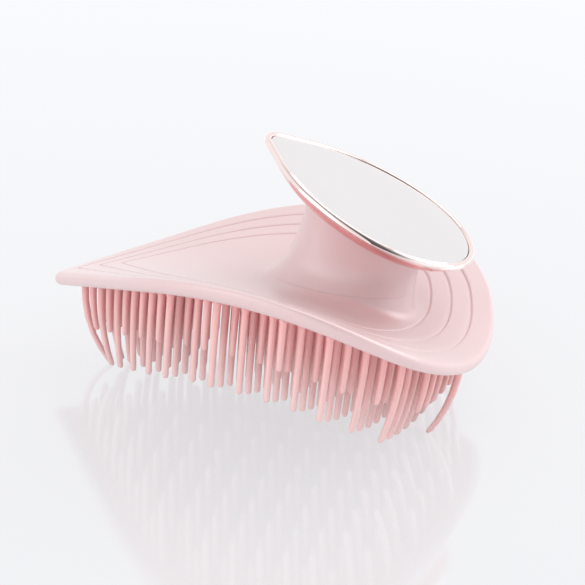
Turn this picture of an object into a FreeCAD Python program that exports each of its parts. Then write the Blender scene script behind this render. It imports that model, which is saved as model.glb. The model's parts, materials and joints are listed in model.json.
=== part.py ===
# Scalp massage brush: a leaf-shaped, saddle-curved base full of long and short
# bristles, with a flared neck and a tilted teardrop mirror as the finger hold.
#
# Design frame (millimetres): X runs along the leaf from the pointed tip (-X) to
# the round end (+X), Y runs across it, Z is up.  The origin is the middle of the
# leaf's top surface.  At the end every piece gets the same resting placement,
# because the real brush lies tipped back on three of its bristles.
import math
import os

import FreeCAD
import Part
import Sketcher

Vector = FreeCAD.Vector
Placement = FreeCAD.Placement
Rotation = FreeCAD.Rotation
UP = Vector(0, 0, 1)
ACROSS = Vector(0, 1, 0)

doc = FreeCAD.newDocument("scalp_massage_brush")
sheet = doc.addObject("Spreadsheet::Sheet", "sizes")

SIZES = (
    ("leaf_tip_reach", 66.5),
    ("leaf_end_reach", 63.0),
    ("leaf_half_width", 54.5),
    ("leaf_wide_at", 23.0),
    ("leaf_tip_angle", 44.0),
    ("leaf_tip_radius", 2.2),
    ("leaf_shoulder_share", 0.9),
    ("leaf_thickness", 4.0),
    ("arch_radius", 176.0),
    ("dish_radius", 145.0),
    ("rim_top_radius", 1.7),
    ("rim_bottom_radius", 1.2),
    ("groove_first", 6.5),
    ("groove_step", 5.9),
    ("groove_tip_share", 0.78),
    ("groove_width", 0.7),
    ("groove_depth", 0.4),
    ("bed_inset", 3.0),
    ("bed_thickness", 1.8),
    ("bristle_pitch", 8.1),
    ("bristle_offset", 0.7),
    ("bristle_margin", 5.4),
    ("long_length", 24.0),
    ("short_length", 14.2),
    ("bristle_root_radius", 1.15),
    ("bristle_tip_radius", 0.9),
    ("bristle_ball_radius", 1.4),
    ("socket_clearance", 0.05),
    ("bristle_lean", 1.0),
    ("bristle_fan", 18.0),
    ("seam_height", 2.0),
    ("foot_depth", 7.0),
    ("core_centre", 24.0),
    ("core_half_length", 11.0),
    ("core_half_width", 6.0),
    ("core_seat", 0.6),
    ("head_centre_x", 24.6),
    ("head_centre_z", 27.2),
    ("head_tilt", 22.5),
    ("mirror_tip_reach", 32.6),
    ("mirror_half_width", 25.4),
    ("mirror_wide_at", 7.5),
    ("mirror_tip_angle", 48.7),
    ("mirror_tip_radius", 6.0),
    ("mirror_thickness", 2.0),
    ("mirror_clearance", 0.1),
    ("tape_thickness", 0.6),
    ("tape_inset", 1.0),
    ("frame_wall", 1.9),
    ("frame_lip", 0.4),
    ("frame_floor", 2.0),
    ("frame_under_radius", 3.7),
    ("frame_top_radius", 0.8),
    ("screw_spacing", 11.0),
    ("screw_head_radius", 2.4),
    ("screw_head_height", 1.3),
    ("screw_shank_radius", 1.25),
    ("screw_grip", 7.0),
    ("screw_slot_width", 0.7),
)
for line, (name, value) in enumerate(SIZES, start=1):
    sheet.set("A%d" % line, name)
    sheet.set("B%d" % line, str(value))
    sheet.setAlias("B%d" % line, name)
doc.recompute()


def size(name):
    return float(sheet.get(name))


# Outlines.  Both the leaf and the mirror are teardrops with the same make-up: a
# small tip arc, two straight flanks, two long arcs to the widest place, and a
# round end.  A positive inset moves the whole outline inwards.
def teardrop(tip, wide_at, half_width, angle, tip_radius, end, shoulder, inset):
    slope = math.radians(angle)
    reach = wide_at + tip
    flank = (reach * math.sin(slope) - half_width * math.cos(slope)) / (1 - math.cos(slope))
    shoulder_y = half_width - shoulder
    run = end - wide_at
    points = []
    apex_x = -tip + inset / math.sin(slope)
    arc_x = apex_x + tip_radius / math.sin(slope)
    points.append((arc_x - tip_radius, 0.0))
    points.append((arc_x - tip_radius * math.sin(slope), tip_radius * math.cos(slope)))
    long_arc = flank - inset
    flank_y = half_width - flank

    def on_flank(turn):
        return (wide_at - long_arc * math.sin(turn), flank_y + long_arc * math.cos(turn))

    points.append(on_flank(slope))
    points.append(on_flank(slope / 2))
    points.append((wide_at, half_width - inset))
    short_arc = shoulder - inset
    if run - shoulder > 0.05:
        end_arc = (run ** 2 + shoulder_y ** 2 - shoulder ** 2) / (2 * (run - shoulder))
        end_x = end - end_arc
        turn = math.atan2(shoulder_y, wide_at - end_x)
        middle = (math.pi / 2 + turn) / 2
        points.append((wide_at + short_arc * math.cos(middle), shoulder_y + short_arc * math.sin(middle)))
        points.append((end_x + (end_arc - inset) * math.cos(turn), (end_arc - inset) * math.sin(turn)))
    points.append((end - inset, 0.0))
    return points


def leaf_shoulder():
    run = size("leaf_end_reach") - size("leaf_wide_at")
    return min(size("leaf_shoulder_share"), 0.97) * run


def leaf_points(inset):
    return teardrop(size("leaf_tip_reach"), size("leaf_wide_at"), size("leaf_half_width"),
                    size("leaf_tip_angle"), size("leaf_tip_radius"), size("leaf_end_reach"),
                    leaf_shoulder(), inset)


def groove_points(inset):
    # keeps its distance from the rim along the sides, and runs nearer to it at the tip
    tip_inset = size("groove_tip_share") * inset / math.sin(math.radians(size("leaf_tip_angle")))
    return teardrop(size("leaf_tip_reach") - tip_inset, size("leaf_wide_at"),
                    size("leaf_half_width") - inset, size("leaf_tip_angle"),
                    size("leaf_tip_radius"), size("leaf_end_reach") - inset,
                    leaf_shoulder() - inset, 0.0)


def mirror_points(inset):
    half_width = size("mirror_half_width")
    end = size("mirror_wide_at") + half_width
    tip_radius = size("mirror_tip_radius") - inset
    return teardrop(size("mirror_tip_reach"), size("mirror_wide_at"), half_width,
                    size("mirror_tip_angle"), tip_radius, end, half_width, inset)


def outline_edges(points):
    upper = [Vector(x, y, 0) for x, y in points]
    lower = [Vector(x, -y, 0) for x, y in points]
    edges = [Part.Arc(lower[1], upper[0], upper[1])]
    edges.append(Part.LineSegment(upper[1], upper[2]))
    edges.append(Part.Arc(upper[2], upper[3], upper[4]))
    if len(points) == 8:
        edges.append(Part.Arc(upper[4], upper[5], upper[6]))
        edges.append(Part.Arc(upper[6], upper[7], lower[6]))
        edges.append(Part.Arc(lower[6], lower[5], lower[4]))
    else:
        edges.append(Part.Arc(upper[4], upper[5], lower[4]))
    edges.append(Part.Arc(lower[4], lower[3], lower[2]))
    edges.append(Part.LineSegment(lower[2], lower[1]))
    return edges


def outline_face(points):
    return Part.Face(Part.Wire([edge.toShape() for edge in outline_edges(points)]))


# Sketch and body helpers.
def plane_of(body, role):
    for feature in body.Origin.OriginFeatures:
        if feature.Role == role:
            return feature
    raise RuntimeError("no plane " + role)


def new_sketch(body, name, role, height=0.0):
    sketch = body.newObject("Sketcher::SketchObject", name)
    sketch.AttachmentSupport = [(plane_of(body, role), "")]
    sketch.MapMode = "FlatFace"
    sketch.AttachmentOffset = Placement(Vector(0, 0, height), Rotation())
    return sketch


def add_outline(sketch, edges):
    first = sketch.GeometryCount
    for edge in edges:
        sketch.addGeometry(edge, False)
    return first


def prism(name, edges, low, length_expression):
    body = doc.addObject("PartDesign::Body", name)
    sketch = new_sketch(body, name + "_outline", "XY_Plane", low)
    add_outline(sketch, edges)
    pad = body.newObject("PartDesign::Pad", name + "_pad")
    pad.Profile = sketch
    pad.setExpression("Length", length_expression)
    sketch.Visibility = False
    return body


# A saddle layer is made larger than the leaf by these lengths, so that the outline
# trims it all round.
SIDE_SPARE = 6.0
END_SPARE = 8.0


def saddle_layer(name, above, below, above_expression, below_expression):
    # the space between two parallel saddle surfaces, swept about the arch axis
    body = doc.addObject("PartDesign::Body", name)
    sketch = new_sketch(body, name + "_section", "YZ_Plane")
    dish = size("dish_radius")
    arch = size("arch_radius")
    span = size("leaf_half_width") + SIDE_SPARE
    upper = dish - above
    lower = dish + below
    centre = Vector(0, dish, 0)
    upper_turn = math.asin(span / upper)
    lower_turn = math.asin(span / lower)
    down = 1.5 * math.pi
    sketch.addGeometry(Part.LineSegment(Vector(-span, -arch, 0), Vector(span, -arch, 0)), True)
    top = Part.ArcOfCircle(Part.Circle(centre, UP, upper), down - upper_turn, down + upper_turn)
    low = Part.ArcOfCircle(Part.Circle(centre, UP, lower), down - lower_turn, down + lower_turn)
    sketch.addGeometry(top, False)
    sketch.addGeometry(Part.LineSegment(top.EndPoint, low.EndPoint), False)
    sketch.addGeometry(low, False)
    sketch.addGeometry(Part.LineSegment(low.StartPoint, top.StartPoint), False)
    add = sketch.addConstraint
    add(Sketcher.Constraint("Coincident", 1, 2, 2, 1))
    add(Sketcher.Constraint("Coincident", 2, 2, 3, 2))
    add(Sketcher.Constraint("Coincident", 3, 1, 4, 1))
    add(Sketcher.Constraint("Coincident", 4, 2, 1, 1))
    add(Sketcher.Constraint("Vertical", 2))
    add(Sketcher.Constraint("Vertical", 4))
    add(Sketcher.Constraint("PointOnObject", 1, 3, -2))
    add(Sketcher.Constraint("Coincident", 1, 3, 3, 3))
    add(Sketcher.Constraint("Horizontal", 0))
    add(Sketcher.Constraint("Symmetric", 1, 1, 1, 2, -2))
    centre_height = add(Sketcher.Constraint("DistanceY", -1, 1, 1, 3, dish))
    axis_depth = add(Sketcher.Constraint("DistanceY", 0, 1, -1, 1, arch))
    top_radius = add(Sketcher.Constraint("Radius", 1, upper))
    low_radius = add(Sketcher.Constraint("Radius", 3, lower))
    half_span = add(Sketcher.Constraint("DistanceX", -1, 1, 1, 2, span))
    sketch.setExpression("Constraints[%d]" % centre_height, "sizes.dish_radius")
    sketch.setExpression("Constraints[%d]" % axis_depth, "sizes.arch_radius")
    sketch.setExpression("Constraints[%d]" % top_radius, "sizes.dish_radius - (%s)" % above_expression)
    sketch.setExpression("Constraints[%d]" % low_radius, "sizes.dish_radius + (%s)" % below_expression)
    sketch.setExpression("Constraints[%d]" % half_span, "sizes.leaf_half_width + %g" % SIDE_SPARE)
    sweep = body.newObject("PartDesign::Revolution", name + "_sweep")
    sweep.Profile = sketch
    sweep.ReferenceAxis = (sketch, ["Axis0"])
    sweep.Midplane = True
    sweep.setExpression(
        "Angle", "360 / pi * (sizes.leaf_tip_reach + %g) / sizes.arch_radius" % END_SPARE)
    sketch.Visibility = False
    return body


def oval_loft(name, stations):
    # a smooth body through ovals, each (height, centre, half length, half width)
    body = doc.addObject("PartDesign::Body", name)
    sketches = []
    for order, (height, centre, half_length, half_width) in enumerate(stations):
        sketch = new_sketch(body, "%s_oval_%d" % (name, order), "XY_Plane", height)
        sketch.addGeometry(Part.Ellipse(Vector(centre, 0, 0), half_length, half_width), False)
        sketch.Visibility = False
        sketches.append(sketch)
    loft = body.newObject("PartDesign::AdditiveLoft", name + "_loft")
    loft.Profile = sketches[0]
    loft.Sections = sketches[1:]
    loft.Ruled = False
    loft.Closed = False
    return body


def boolean(kind, name, base, tool):
    result = doc.addObject("Part::" + kind, name)
    result.Base = base
    result.Tool = tool
    base.Visibility = False
    tool.Visibility = False
    return result


def rounded(name, base, edge_radii):
    doc.recompute()
    result = doc.addObject("Part::Fillet", name)
    result.Base = base
    result.Edges = edge_radii
    base.Visibility = False
    doc.recompute()
    return result


# Leaf base: saddle layer trimmed to the leaf outline, rim rounded.
PRISM_LOW = -size("leaf_tip_reach")
PRISM_LENGTH = "2 * sizes.leaf_tip_reach"
thickness = size("leaf_thickness")
leaf_layer = saddle_layer("leaf_layer", 0.0, thickness, "0", "sizes.leaf_thickness")
leaf_prism = prism("leaf_prism", outline_edges(leaf_points(0.0)), PRISM_LOW, PRISM_LENGTH)
leaf_blank = boolean("Common", "leaf_blank", leaf_layer, leaf_prism)
doc.recompute()

# A rim round stays within half the thickness and within the round of the leaf's tip.  The
# lower edge is sharp there, because the arch slopes down, so its round takes more room.
RIM_THICKNESS_SHARE = 0.48
RIM_TIP_SHARE = 0.85
tip_slope = math.asin(size("leaf_tip_reach") / size("arch_radius"))
tip_room = RIM_TIP_SHARE * size("leaf_tip_radius")
top_room = min(RIM_THICKNESS_SHARE * thickness, tip_room)
bottom_room = min(RIM_THICKNESS_SHARE * thickness,
                  tip_room * math.tan((math.pi / 2 - tip_slope) / 2))


def rim_edges(shape):
    radii = []
    for order, edge in enumerate(shape.Edges, start=1):
        faces = shape.ancestorsOfType(edge, Part.Face)
        saddles = [f for f in faces if f.Surface.TypeId == "Part::GeomToroid"]
        if len(saddles) != 1 or len(faces) != 2:
            continue
        is_top = abs(saddles[0].Surface.MinorRadius - size("dish_radius")) < thickness / 2
        radius = min(size("rim_bottom_radius"), bottom_room)
        if is_top:
            radius = min(size("rim_top_radius"), top_room)
        radii.append((order, radius, radius))
    return radii


leaf_rounded = rounded("leaf_rounded", leaf_blank, rim_edges(leaf_blank.Shape))

# Three fine grooves that follow the outline on the top face.
groove_layer = saddle_layer("groove_layer", 1.0, size("groove_depth"), "1", "sizes.groove_depth")
rings = []
for order in range(3):
    inset = size("groove_first") + order * size("groove_step")
    outer = prism("groove_outer_%d" % order, outline_edges(groove_points(inset)), PRISM_LOW, PRISM_LENGTH)
    inner_inset = inset + size("groove_width")
    inner = prism("groove_inner_%d" % order, outline_edges(groove_points(inner_inset)),
                  PRISM_LOW, PRISM_LENGTH)
    rings.append(boolean("Cut", "groove_ring_%d" % order, outer, inner))
ring_set = doc.addObject("Part::Compound", "groove_rings")
ring_set.Links = rings
grooves = boolean("Common", "groove_cutter", ring_set, groove_layer)
leaf_grooved = boolean("Cut", "leaf_grooved", leaf_rounded, grooves)

# Flared foot of the neck, part of the leaf moulding up to the seam.  Its ovals are
# (height, centre, half length, half width); the foot fills the grooves under it.
seam = size("seam_height")
core_x = size("core_centre")
FOOT_OVALS = (
    (-size("foot_depth"), core_x - 7.75, 28.75, 23.0),
    (-0.5 * size("foot_depth"), core_x - 6.85, 25.15, 20.0),
    (-0.15 * size("foot_depth"), core_x - 5.15, 22.75, 17.3),
    (seam, core_x - 3.4, 20.9, 15.0),
)
foot = oval_loft("neck_foot", FOOT_OVALS)
leaf_with_foot = boolean("Fuse", "leaf_with_foot", leaf_grooved, foot)

# Recess underneath for the bristle bed.
skin = thickness - size("bed_thickness")
recess_layer = saddle_layer("recess_layer", -skin, thickness + 12.0,
                            "sizes.bed_thickness - sizes.leaf_thickness",
                            "sizes.leaf_thickness + 12")
recess_prism = prism("recess_prism", outline_edges(leaf_points(size("bed_inset"))),
                     PRISM_LOW, PRISM_LENGTH)
bed_recess = boolean("Common", "bed_recess", recess_layer, recess_prism)
leaf_hollow = boolean("Cut", "leaf_hollow", leaf_with_foot, bed_recess)

# Rigid core inside the neck, cut to the tilt of the head.
HEAD_ROOM = 100.0
head_turn = Rotation(ACROSS, size("head_tilt"))
head_frame = Placement(Vector(size("head_centre_x"), 0, size("head_centre_z")), head_turn)
frame_bottom = -(size("mirror_thickness") + size("tape_thickness") + size("frame_floor"))
frame_floor_top = frame_bottom + size("frame_floor")
core_oval = Part.Ellipse(Vector(core_x, 0, 0), size("core_half_length"), size("core_half_width"))
core_prism = prism("core_prism", [core_oval], size("core_seat"), "%g" % HEAD_ROOM)
head_space = doc.addObject("Part::Box", "head_space")
head_space.Length = 2 * HEAD_ROOM
head_space.Width = 2 * HEAD_ROOM
head_space.Height = HEAD_ROOM
head_corner = Vector(-HEAD_ROOM, -HEAD_ROOM, frame_bottom)
head_space.Placement = head_frame.multiply(Placement(head_corner, Rotation()))
core_cut = boolean("Cut", "core_cut", core_prism, head_space)
leaf_socket = boolean("Cut", "leaf_socket", leaf_hollow, core_prism)

# Neck sleeve around the core, from the seam to the underside of the head.  The last
# oval lies above the head's high side, so that the head's underside trims the sleeve.
neck_height = size("head_centre_z") + 5.8 - seam
NECK_OVALS = (
    (seam, core_x - 3.4, 20.9, 15.0),
    (seam + 0.10 * neck_height, core_x - 1.8, 19.3, 12.6),
    (seam + 0.26 * neck_height, core_x - 0.2, 18.4, 11.2),
    (seam + 0.45 * neck_height, core_x + 1.7, 18.5, 11.4),
    (seam + 0.71 * neck_height, core_x + 4.1, 19.3, 12.6),
    (seam + neck_height, core_x + 7.2, 19.7, 14.6),
)
neck_outer = oval_loft("neck_outer", NECK_OVALS)
neck_trimmed = boolean("Cut", "neck_trimmed", neck_outer, head_space)
neck_sleeve = boolean("Cut", "neck_sleeve", neck_trimmed, core_prism)

# Mirror frame: a plated tray with a rounded underside and a thin lip.
frame_body = doc.addObject("PartDesign::Body", "frame_body")
frame_sketch = new_sketch(frame_body, "frame_outline", "XY_Plane", frame_bottom)
add_outline(frame_sketch, outline_edges(mirror_points(-size("frame_wall"))))
frame_pad = frame_body.newObject("PartDesign::Pad", "frame_pad")
frame_pad.Profile = frame_sketch
frame_pad.setExpression(
    "Length",
    "sizes.mirror_thickness + sizes.tape_thickness + sizes.frame_floor + sizes.frame_lip",
)
well_sketch = new_sketch(frame_body, "well_outline", "XY_Plane", size("frame_lip"))
add_outline(well_sketch, outline_edges(mirror_points(0.0)))
well = frame_body.newObject("PartDesign::Pocket", "mirror_well")
well.Profile = well_sketch
well.setExpression(
    "Length", "sizes.mirror_thickness + sizes.tape_thickness + sizes.frame_lip"
)
doc.recompute()

# The round under the frame leaves this share of the wall below the lip's own round.
UNDER_SHARE = 0.95


def frame_edges(shape):
    # rounds the underside and the outer edge of the lip; the well's own edge stays
    radii = []
    lip = size("frame_lip")
    wall_height = lip - frame_bottom - size("frame_top_radius")
    under = min(size("frame_under_radius"), UNDER_SHARE * wall_height)
    well_wall = outline_face(mirror_points(0.0)).OuterWire
    for order, edge in enumerate(shape.Edges, start=1):
        heights = [v.Z for v in edge.Vertexes]
        if max(heights) - min(heights) > 1e-6:
            continue
        middle = edge.valueAt((edge.FirstParameter + edge.LastParameter) / 2)
        flat = Part.Vertex(Vector(middle.x, middle.y, 0))
        is_outer = well_wall.distToShape(flat)[0] > size("frame_wall") / 2
        if abs(heights[0] - frame_bottom) < 1e-6:
            radii.append((order, under, under))
        elif abs(heights[0] - lip) < 1e-6 and is_outer:
            radii.append((order, size("frame_top_radius"), size("frame_top_radius")))
    return radii


frame_rounded = rounded("frame_rounded", frame_body, frame_edges(frame_body.Shape))

# Screws: a round slotted head on a plain shank.
def make_screw(name, frame, grip):
    # frame: origin on the outer face of the head, +Z pointing out of the head
    head = doc.addObject("Part::Cylinder", name + "_head")
    head.setExpression("Radius", "sizes.screw_head_radius")
    head.setExpression("Height", "sizes.screw_head_height")
    head.Placement = Placement(Vector(0, 0, -size("screw_head_height")), Rotation())
    shank = doc.addObject("Part::Cylinder", name + "_shank")
    shank.setExpression("Radius", "sizes.screw_shank_radius")
    shank.Height = grip + 0.2
    shank.Placement = Placement(Vector(0, 0, -size("screw_head_height") - grip), Rotation())
    joined = boolean("Fuse", name + "_blank", head, shank)
    slot = doc.addObject("Part::Box", name + "_slot")
    slot.setExpression("Length", "2.4 * sizes.screw_head_radius")
    slot.setExpression("Width", "sizes.screw_slot_width")
    slot.setExpression("Height", "sizes.screw_head_height")
    slot.Placement = Placement(
        Vector(-1.2 * size("screw_head_radius"), -0.5 * size("screw_slot_width"),
               -0.5 * size("screw_head_height")), Rotation())
    result = boolean("Cut", name, joined, slot)
    result.Placement = frame
    return result


def screw_hole(name, frame, grip, head_room):
    # the space that a screw and the way to its head take up
    wide = doc.addObject("Part::Cylinder", name + "_head_room")
    wide.setExpression("Radius", "sizes.screw_head_radius")
    wide.Height = size("screw_head_height") + head_room
    wide.Placement = Placement(Vector(0, 0, -size("screw_head_height")), Rotation())
    narrow = doc.addObject("Part::Cylinder", name + "_shank_room")
    narrow.setExpression("Radius", "sizes.screw_shank_radius")
    narrow.Height = grip + 0.2
    narrow.Placement = Placement(Vector(0, 0, -size("screw_head_height") - grip), Rotation())
    result = boolean("Fuse", name, wide, narrow)
    result.Placement = frame
    return result


def bed_top(x, y):
    return -x * x / (2 * size("arch_radius")) + y * y / (2 * size("dish_radius")) - skin


half_spacing = size("screw_spacing") / 2
head_grip = size("screw_grip") + size("frame_floor") - size("screw_head_height")
tilt = math.radians(size("head_tilt"))
half_depth = -frame_floor_top + head_grip / 2
screw_lead = (core_x - size("head_centre_x") + half_depth * math.sin(tilt)) / math.cos(tilt)
head_screws = []
frame_cut = frame_rounded
core_bored = core_cut
for order, side in enumerate((-1, 1), start=1):
    local = Placement(Vector(screw_lead + side * half_spacing, 0, frame_floor_top), Rotation())
    spot = head_frame.multiply(local)
    head_screws.append(make_screw("head_screw_%d" % order, spot, head_grip))
    frame_hole = screw_hole("frame_hole_%d" % order, local, head_grip, 0.5)
    frame_cut = boolean("Cut", "frame_bored_%d" % order, frame_cut, frame_hole)
    core_hole = screw_hole("core_hole_%d" % order, spot, head_grip, 0.5)
    core_bored = boolean("Cut", "core_bored_%d" % order, core_bored, core_hole)

base_screws = []
leaf_bored = leaf_socket
flip = Rotation(Vector(1, 0, 0), 180)
for order, side in enumerate((-1, 1), start=1):
    x = core_x + side * half_spacing
    reach = size("screw_head_radius")
    low = bed_top(x - reach, reach) + 0.15
    spot = Placement(Vector(x, 0, low), flip)
    grip = size("core_seat") - low - size("screw_head_height") + size("screw_grip")
    base_screws.append(make_screw("base_screw_%d" % order, spot, grip))
    leaf_hole = screw_hole("leaf_hole_%d" % order, spot, grip, 6.0)
    leaf_bored = boolean("Cut", "leaf_bored_%d" % order, leaf_bored, leaf_hole)
    core_well = screw_hole("core_well_%d" % order, spot, grip, 6.0)
    core_bored = boolean("Cut", "core_tapped_%d" % order, core_bored, core_well)

# Mirror glass and the foam tape that holds it.
mirror_glass = prism("mirror_glass", outline_edges(mirror_points(size("mirror_clearance"))),
                     -size("mirror_thickness"), "sizes.mirror_thickness")
tape_pad = prism("tape_pad", outline_edges(mirror_points(size("tape_inset"))),
                 frame_floor_top, "sizes.tape_thickness")

# Bristles.  Rows run along the saddle's straight lines, so each row's roots lie on
# one straight axis.  The pitch across follows from the two radii of the saddle.
# The rows' saddle is the parabolic one that meets the bed's round underside at about
# two thirds of the leaf's reach.
pitch = size("bristle_pitch")
under_radius = size("arch_radius") - thickness
meet_at = 0.7 * size("leaf_tip_reach")
root_arch = (under_radius + math.sqrt(under_radius ** 2 - meet_at ** 2)) / 2
cross_pitch = pitch * math.sqrt(size("dish_radius") / root_arch)


def master_bristle(name, length_name):
    body = doc.addObject("PartDesign::Body", name)
    sketch = new_sketch(body, name + "_section", "XZ_Plane")
    ball = size("bristle_ball_radius")
    root = min(size("bristle_root_radius"), 0.95 * ball)
    tip = size("bristle_tip_radius")
    length = size(length_name)
    neck = -math.sqrt(ball ** 2 - root ** 2)
    top = Vector(0, ball, 0)
    shoulder = Vector(root, neck, 0)
    foot = Vector(tip, tip - length, 0)
    end = Vector(0, -length, 0)
    bulge = Vector(ball * math.cos(0.3), ball * math.sin(0.3), 0)
    nose = Vector(tip * math.sqrt(0.5), tip - length - tip * math.sqrt(0.5), 0)
    sketch.addGeometry(Part.Arc(top, bulge, shoulder), False)
    sketch.addGeometry(Part.LineSegment(shoulder, foot), False)
    sketch.addGeometry(Part.Arc(foot, nose, end), False)
    sketch.addGeometry(Part.LineSegment(end, top), False)
    turned = body.newObject("PartDesign::Revolution", name + "_turned")
    turned.Profile = sketch
    turned.ReferenceAxis = (sketch, ["V_Axis"])
    turned.Angle = 360
    sketch.Visibility = False
    return body


long_bristle = master_bristle("long_bristle", "long_length")
short_bristle = master_bristle("short_bristle", "short_length")
doc.recompute()


def root_of(x, y):
    drop = x * x / (2 * root_arch)
    rise = y * y / (2 * size("dish_radius"))
    return Vector(x, y, rise - drop - thickness)


def lean_of(x):
    # the bristles near both ends lean inwards; angle in radians, tips towards +X
    share = x / size("leaf_end_reach")
    return math.radians(size("bristle_lean") - size("bristle_fan") * share ** 3)


rows = {}
field = outline_face(leaf_points(size("bristle_margin")))
most_along = int(2 * size("leaf_tip_reach") / pitch) + 1
most_over = int(2 * size("leaf_half_width") / cross_pitch) + 1
for along in range(-most_along, most_along + 1):
    for over in range(-most_over, most_over + 1):
        if (along + over) % 2:
            continue
        x = size("bristle_offset") + along * pitch / 2
        y = over * cross_pitch / 2
        if not field.isInside(Vector(x, y, 0), 1e-6, True):
            continue
        is_long = along % 2 == 0
        rows.setdefault((along - over) // 2, []).append((along, over, x, y, is_long))

socket = Part.makeSphere(size("bristle_ball_radius") + size("socket_clearance"))
sockets = []
row_nodes = []
tip_centres = {}
for order, key in enumerate(sorted(rows), start=1):
    solids = []
    for along, over, x, y, is_long in rows[key]:
        root = root_of(x, y)
        master = long_bristle if is_long else short_bristle
        length = size("long_length") if is_long else size("short_length")
        lean = lean_of(x)
        bristle = master.Shape.copy()
        bristle.Placement = Placement(root, Rotation(ACROSS, -math.degrees(lean)))
        solids.append(bristle.Solids[0])
        hole = socket.copy()
        hole.Placement = Placement(root, Rotation())
        sockets.append(hole)
        stem = length - size("bristle_tip_radius")
        tip_centres[(along, over)] = root + Vector(math.sin(lean), 0, -math.cos(lean)) * stem
    node = doc.addObject("Part::Feature", "bristle_row_%02d" % order)
    node.Shape = Part.makeCompound(solids)
    row_nodes.append(node)

doc.recompute()

# Resting placement: the brush stands on the end bristles of its middle line and tips
# back about them until the next long bristle touches the floor.
ends = [key for key in tip_centres if key[0] % 2 == 0]
tip_end = min(ends, key=lambda key: (key[0], abs(key[1])))
round_end = max(ends, key=lambda key: (key[0], -abs(key[1])))


def floor_angles(third):
    normal = (tip_centres[round_end] - tip_centres[tip_end]).cross(
        tip_centres[third] - tip_centres[tip_end])
    if normal.z < 0:
        normal = normal * -1
    return (math.atan2(normal.y, math.hypot(normal.x, normal.z)),
            -math.atan2(normal.x, normal.z))


behind = [key for key in ends if key[1] > 0]
roll_angle, pitch_angle = max(floor_angles(key) for key in behind)
roll = Rotation(Vector(1, 0, 0), math.degrees(roll_angle))
turn = roll.multiply(Rotation(ACROSS, math.degrees(pitch_angle)))
tilted = Placement(Vector(0, 0, 0), turn)

# The origin ends up below the middle of the whole, on the floor.
boxes = []
laid_nodes = [(leaf_bored, Placement()), (frame_cut, head_frame)]
laid_nodes += [(node, Placement()) for node in row_nodes]
for node, place in laid_nodes:
    laid = node.Shape.copy()
    laid.Placement = tilted.multiply(place)
    boxes.append(laid.optimalBoundingBox(False))
middle_x = (min(b.XMin for b in boxes) + max(b.XMax for b in boxes)) / 2
middle_y = (min(b.YMin for b in boxes) + max(b.YMax for b in boxes)) / 2
lowest = min(turn.multVec(point).z for point in tip_centres.values())
shift = Vector(-middle_x, -middle_y, size("bristle_tip_radius") - lowest)
resting = Placement(shift, turn)

# Bristle bed: a pad in the recess with a ball socket for every bristle.
bed_layer = saddle_layer("bed_layer", -skin, thickness,
                         "sizes.bed_thickness - sizes.leaf_thickness", "sizes.leaf_thickness")
bed_prism = prism("bed_prism", outline_edges(leaf_points(size("bed_inset"))),
                  PRISM_LOW, PRISM_LENGTH)
bed_blank = boolean("Common", "bed_blank", bed_layer, bed_prism)
socket_set = doc.addObject("Part::Feature", "socket_set")
socket_set.Shape = Part.makeCompound(sockets)
bed = boolean("Cut", "bed_with_sockets", bed_blank, socket_set)

nodes = [
    (leaf_bored, "base_shell"),
    (bed, "bristle_bed"),
    (neck_sleeve, "neck_sleeve"),
    (core_bored, "neck_core"),
    (frame_cut, "mirror_frame"),
    (tape_pad, "mirror_tape"),
    (mirror_glass, "mirror"),
]
for order, node in enumerate(head_screws, start=1):
    nodes.append((node, "head_screw_%d" % order))
for order, node in enumerate(base_screws, start=1):
    nodes.append((node, "base_screw_%d" % order))
for order, node in enumerate(row_nodes, start=1):
    nodes.append((node, "bristle_row_%02d" % order))

for node in (frame_cut, tape_pad, mirror_glass):
    node.Placement = head_frame
for node, label in nodes:
    node.Label = label
    node.Placement = resting.multiply(node.Placement)
doc.recompute()

for item in doc.Objects:
    if "Invalid" in item.State or "Error" in item.State:
        raise RuntimeError("failed object " + item.Name)
os.makedirs("parts", exist_ok=True)
for node, label in nodes:
    shape = node.Shape
    if shape.isNull() or not shape.isValid() or not shape.Solids:
        raise RuntimeError("bad shape " + label)
    shape.exportStep("parts/%s.step" % label)
print("rest roll %.4f pitch %.4f shift %.4f %.4f %.4f" % (
    math.degrees(roll_angle), math.degrees(pitch_angle), shift.x, shift.y, shift.z))
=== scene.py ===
"""Looks of the scalp massage brush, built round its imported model.

Shapes are worked out in the brush's own design frame in millimetres: X along the leaf from
the pointed tip to the round end, Y across it, Z up, origin in the middle of the leaf's top.
to_row() turns them into the frame in which the brush lies on the table, in metres.
"""
import json
import math

import bpy
import numpy as np
from mathutils import Matrix, Vector


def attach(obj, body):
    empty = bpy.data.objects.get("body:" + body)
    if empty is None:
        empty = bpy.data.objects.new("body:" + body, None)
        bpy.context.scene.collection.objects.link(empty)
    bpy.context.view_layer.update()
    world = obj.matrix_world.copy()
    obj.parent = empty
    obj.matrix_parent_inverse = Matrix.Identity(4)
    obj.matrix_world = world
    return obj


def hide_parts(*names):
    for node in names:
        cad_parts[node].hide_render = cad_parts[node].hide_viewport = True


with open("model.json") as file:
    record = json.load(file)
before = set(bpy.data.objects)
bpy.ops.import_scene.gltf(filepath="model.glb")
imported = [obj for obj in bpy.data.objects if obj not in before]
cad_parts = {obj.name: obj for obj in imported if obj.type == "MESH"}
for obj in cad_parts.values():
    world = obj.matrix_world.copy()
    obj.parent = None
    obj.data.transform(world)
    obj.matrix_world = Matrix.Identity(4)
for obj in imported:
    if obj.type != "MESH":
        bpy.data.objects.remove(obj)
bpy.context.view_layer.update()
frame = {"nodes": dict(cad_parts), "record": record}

IMAGE_WIDTH = 585.0
MM = 0.001

# How the brush lies: tipped back on three bristles.
REST_ROLL = math.radians(-9.8794)
REST_PITCH = math.radians(-0.3142)

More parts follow.
